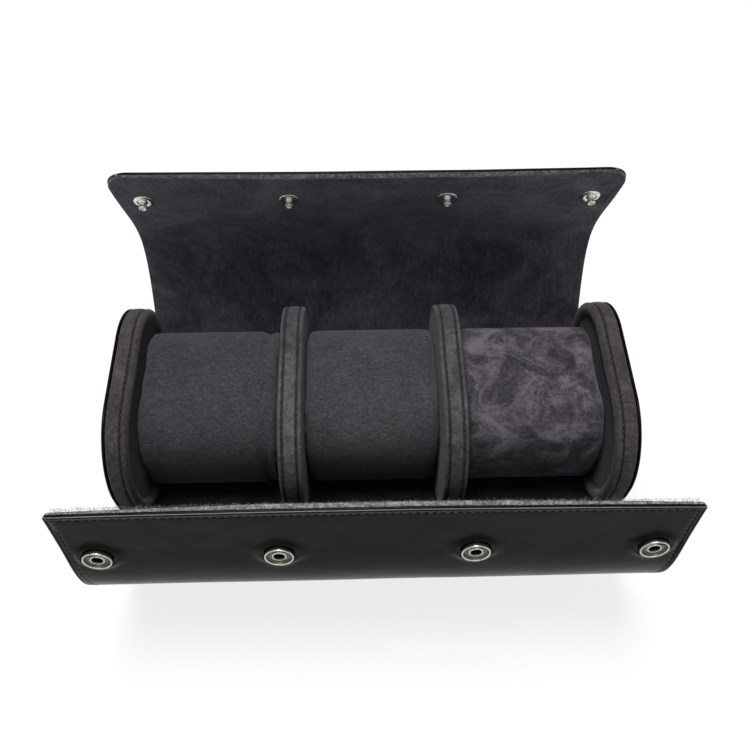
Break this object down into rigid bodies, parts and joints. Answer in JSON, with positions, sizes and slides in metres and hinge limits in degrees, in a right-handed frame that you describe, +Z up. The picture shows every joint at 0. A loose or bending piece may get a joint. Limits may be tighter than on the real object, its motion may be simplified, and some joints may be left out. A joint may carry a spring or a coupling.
{
  "type": "watch travel case",
  "caption": "Soft oval travel roll for wrist watches: leather wrap with folding front and back flaps, suede ends, dividers and lift-out pillows, and press studs.",
  "frame": {"origin": "on the resting plane, under the middle of the dividers' length and depth, midway between the ends", "axes": "+X along the roll to the viewer's right, +Y from the front flap to the back flap, +Z up from the resting face"},
  "size_m": [0.2692, 0.2064, 0.1429],
  "materials": {
    "leather": "smooth, soft sheen",
    "suede": "short dense nap",
    "board": "grey board",
    "foam": "open foam",
    "nickel": "polished nickel",
    "spring_steel": "drawn wire"
  },
  "bodies": {
    "case": {"base_leather": "leather", "base_board": "board", "base_lining": "suede", "left_end_leather": "leather", "left_end_band": "suede", "left_end_core": "board", "left_end_lining": "suede", "right_end_leather": "leather", "right_end_band": "suede", "right_end_core": "board", "right_end_lining": "suede", "left_divider_band": "suede", "left_divider_core": "board", "left_divider_faces": "suede", "right_divider_band": "suede", "right_divider_core": "board", "right_divider_faces": "suede"},
    "front_flap_1": {"front_leather_1": "leather", "front_board_1": "board", "front_lining_1": "suede"},
    "front_flap_2": {"front_leather_2": "leather", "front_board_2": "board", "front_lining_2": "suede"},
    "front_flap_3": {"front_leather_3": "leather", "front_board_3": "board", "front_lining_3": "suede"},
    "front_flap_4": {"front_leather_4": "leather", "front_board_4": "board", "front_lining_4": "suede"},
    "front_flap_5": {"front_leather_5": "leather", "front_board_5": "board", "front_lining_5": "suede", "snap_sockets": "nickel", "snap_springs": "spring_steel", "socket_eyelets": "nickel"},
    "back_flap_1": {"back_leather_1": "leather", "back_board_1": "board", "back_lining_1": "suede"},
    "back_flap_2": {"back_leather_2": "leather", "back_board_2": "board", "back_lining_2": "suede"},
    "back_flap_3": {"back_leather_3": "leather", "back_board_3": "board", "back_lining_3": "suede"},
    "back_flap_4": {"back_leather_4": "leather", "back_board_4": "board", "back_lining_4": "suede", "snap_studs": "nickel", "stud_caps": "nickel"},
    "left_pillow": {"left_pillow_cover": "suede", "left_pillow_foam": "foam"},
    "middle_pillow": {"middle_pillow_cover": "suede", "middle_pillow_foam": "foam"},
    "right_pillow": {"right_pillow_cover": "suede", "right_pillow_foam": "foam"}
  },
  "joints": [
    {"name": "front_fold_1", "type": "hinge", "parent": "case", "child": "front_flap_1", "pos_m": [0, -0.031, 0], "axis": [-1, 0, 0], "range_deg": [0, 24]},
    {"name": "front_fold_2", "type": "hinge", "parent": "front_flap_1", "child": "front_flap_2", "pos_m": [0, -0.05797, 0.00508], "axis": [-1, 0, 0], "range_deg": [0, 11]},
    {"name": "front_fold_3", "type": "hinge", "parent": "front_flap_2", "child": "front_flap_3", "pos_m": [0, -0.07886, 0.02111], "axis": [-1, 0, 0], "range_deg": [0, 15]},
    {"name": "front_fold_4", "type": "hinge", "parent": "front_flap_3", "child": "front_flap_4", "pos_m": [0, -0.09661, 0.04471], "axis": [-1, 0, 0], "range_deg": [0, 25]},
    {"name": "front_fold_5", "type": "hinge", "parent": "front_flap_4", "child": "front_flap_5", "pos_m": [0, -0.10711, 0.06931], "axis": [-1, 0, 0], "range_deg": [0, 9]},
    {"name": "back_fold_1", "type": "hinge", "parent": "case", "child": "back_flap_1", "pos_m": [0, 0.02968, 0.00119], "axis": [1, 0, 0], "range_deg": [0, 17]},
    {"name": "back_fold_2", "type": "hinge", "parent": "back_flap_1", "child": "back_flap_2", "pos_m": [0, 0.05789, 0.00888], "axis": [1, 0, 0], "range_deg": [0, 18]},
    {"name": "back_fold_3", "type": "hinge", "parent": "back_flap_2", "child": "back_flap_3", "pos_m": [0, 0.08613, 0.03731], "axis": [1, 0, 0], "range_deg": [0, 10]},
    {"name": "back_fold_4", "type": "hinge", "parent": "back_flap_3", "child": "back_flap_4", "pos_m": [0, 0.0979, 0.07211], "axis": [1, 0, 0], "range_deg": [0, 22]},
    {"name": "left_pillow_seat", "type": "slide", "parent": "case", "child": "left_pillow", "axis": [0, 0, -1], "range_m": [-0.09, 0]},
    {"name": "middle_pillow_seat", "type": "slide", "parent": "case", "child": "middle_pillow", "axis": [0, 0, -1], "range_m": [-0.09, 0]},
    {"name": "right_pillow_seat", "type": "slide", "parent": "case", "child": "right_pillow", "axis": [0, 0, -1], "range_m": [-0.09, 0]}
  ],
  "couplings": [
    {"joint": "front_fold_2", "follows": "front_fold_1", "ratio": 0.45833},
    {"joint": "front_fold_3", "follows": "front_fold_1", "ratio": 0.625},
    {"joint": "front_fold_4", "follows": "front_fold_1", "ratio": 1.0417},
    {"joint": "front_fold_5", "follows": "front_fold_1", "ratio": 0.375},
    {"joint": "back_fold_2", "follows": "back_fold_1", "ratio": 1.0588},
    {"joint": "back_fold_3", "follows": "back_fold_1", "ratio": 0.58824},
    {"joint": "back_fold_4", "follows": "back_fold_1", "ratio": 1.2941}
  ]
}
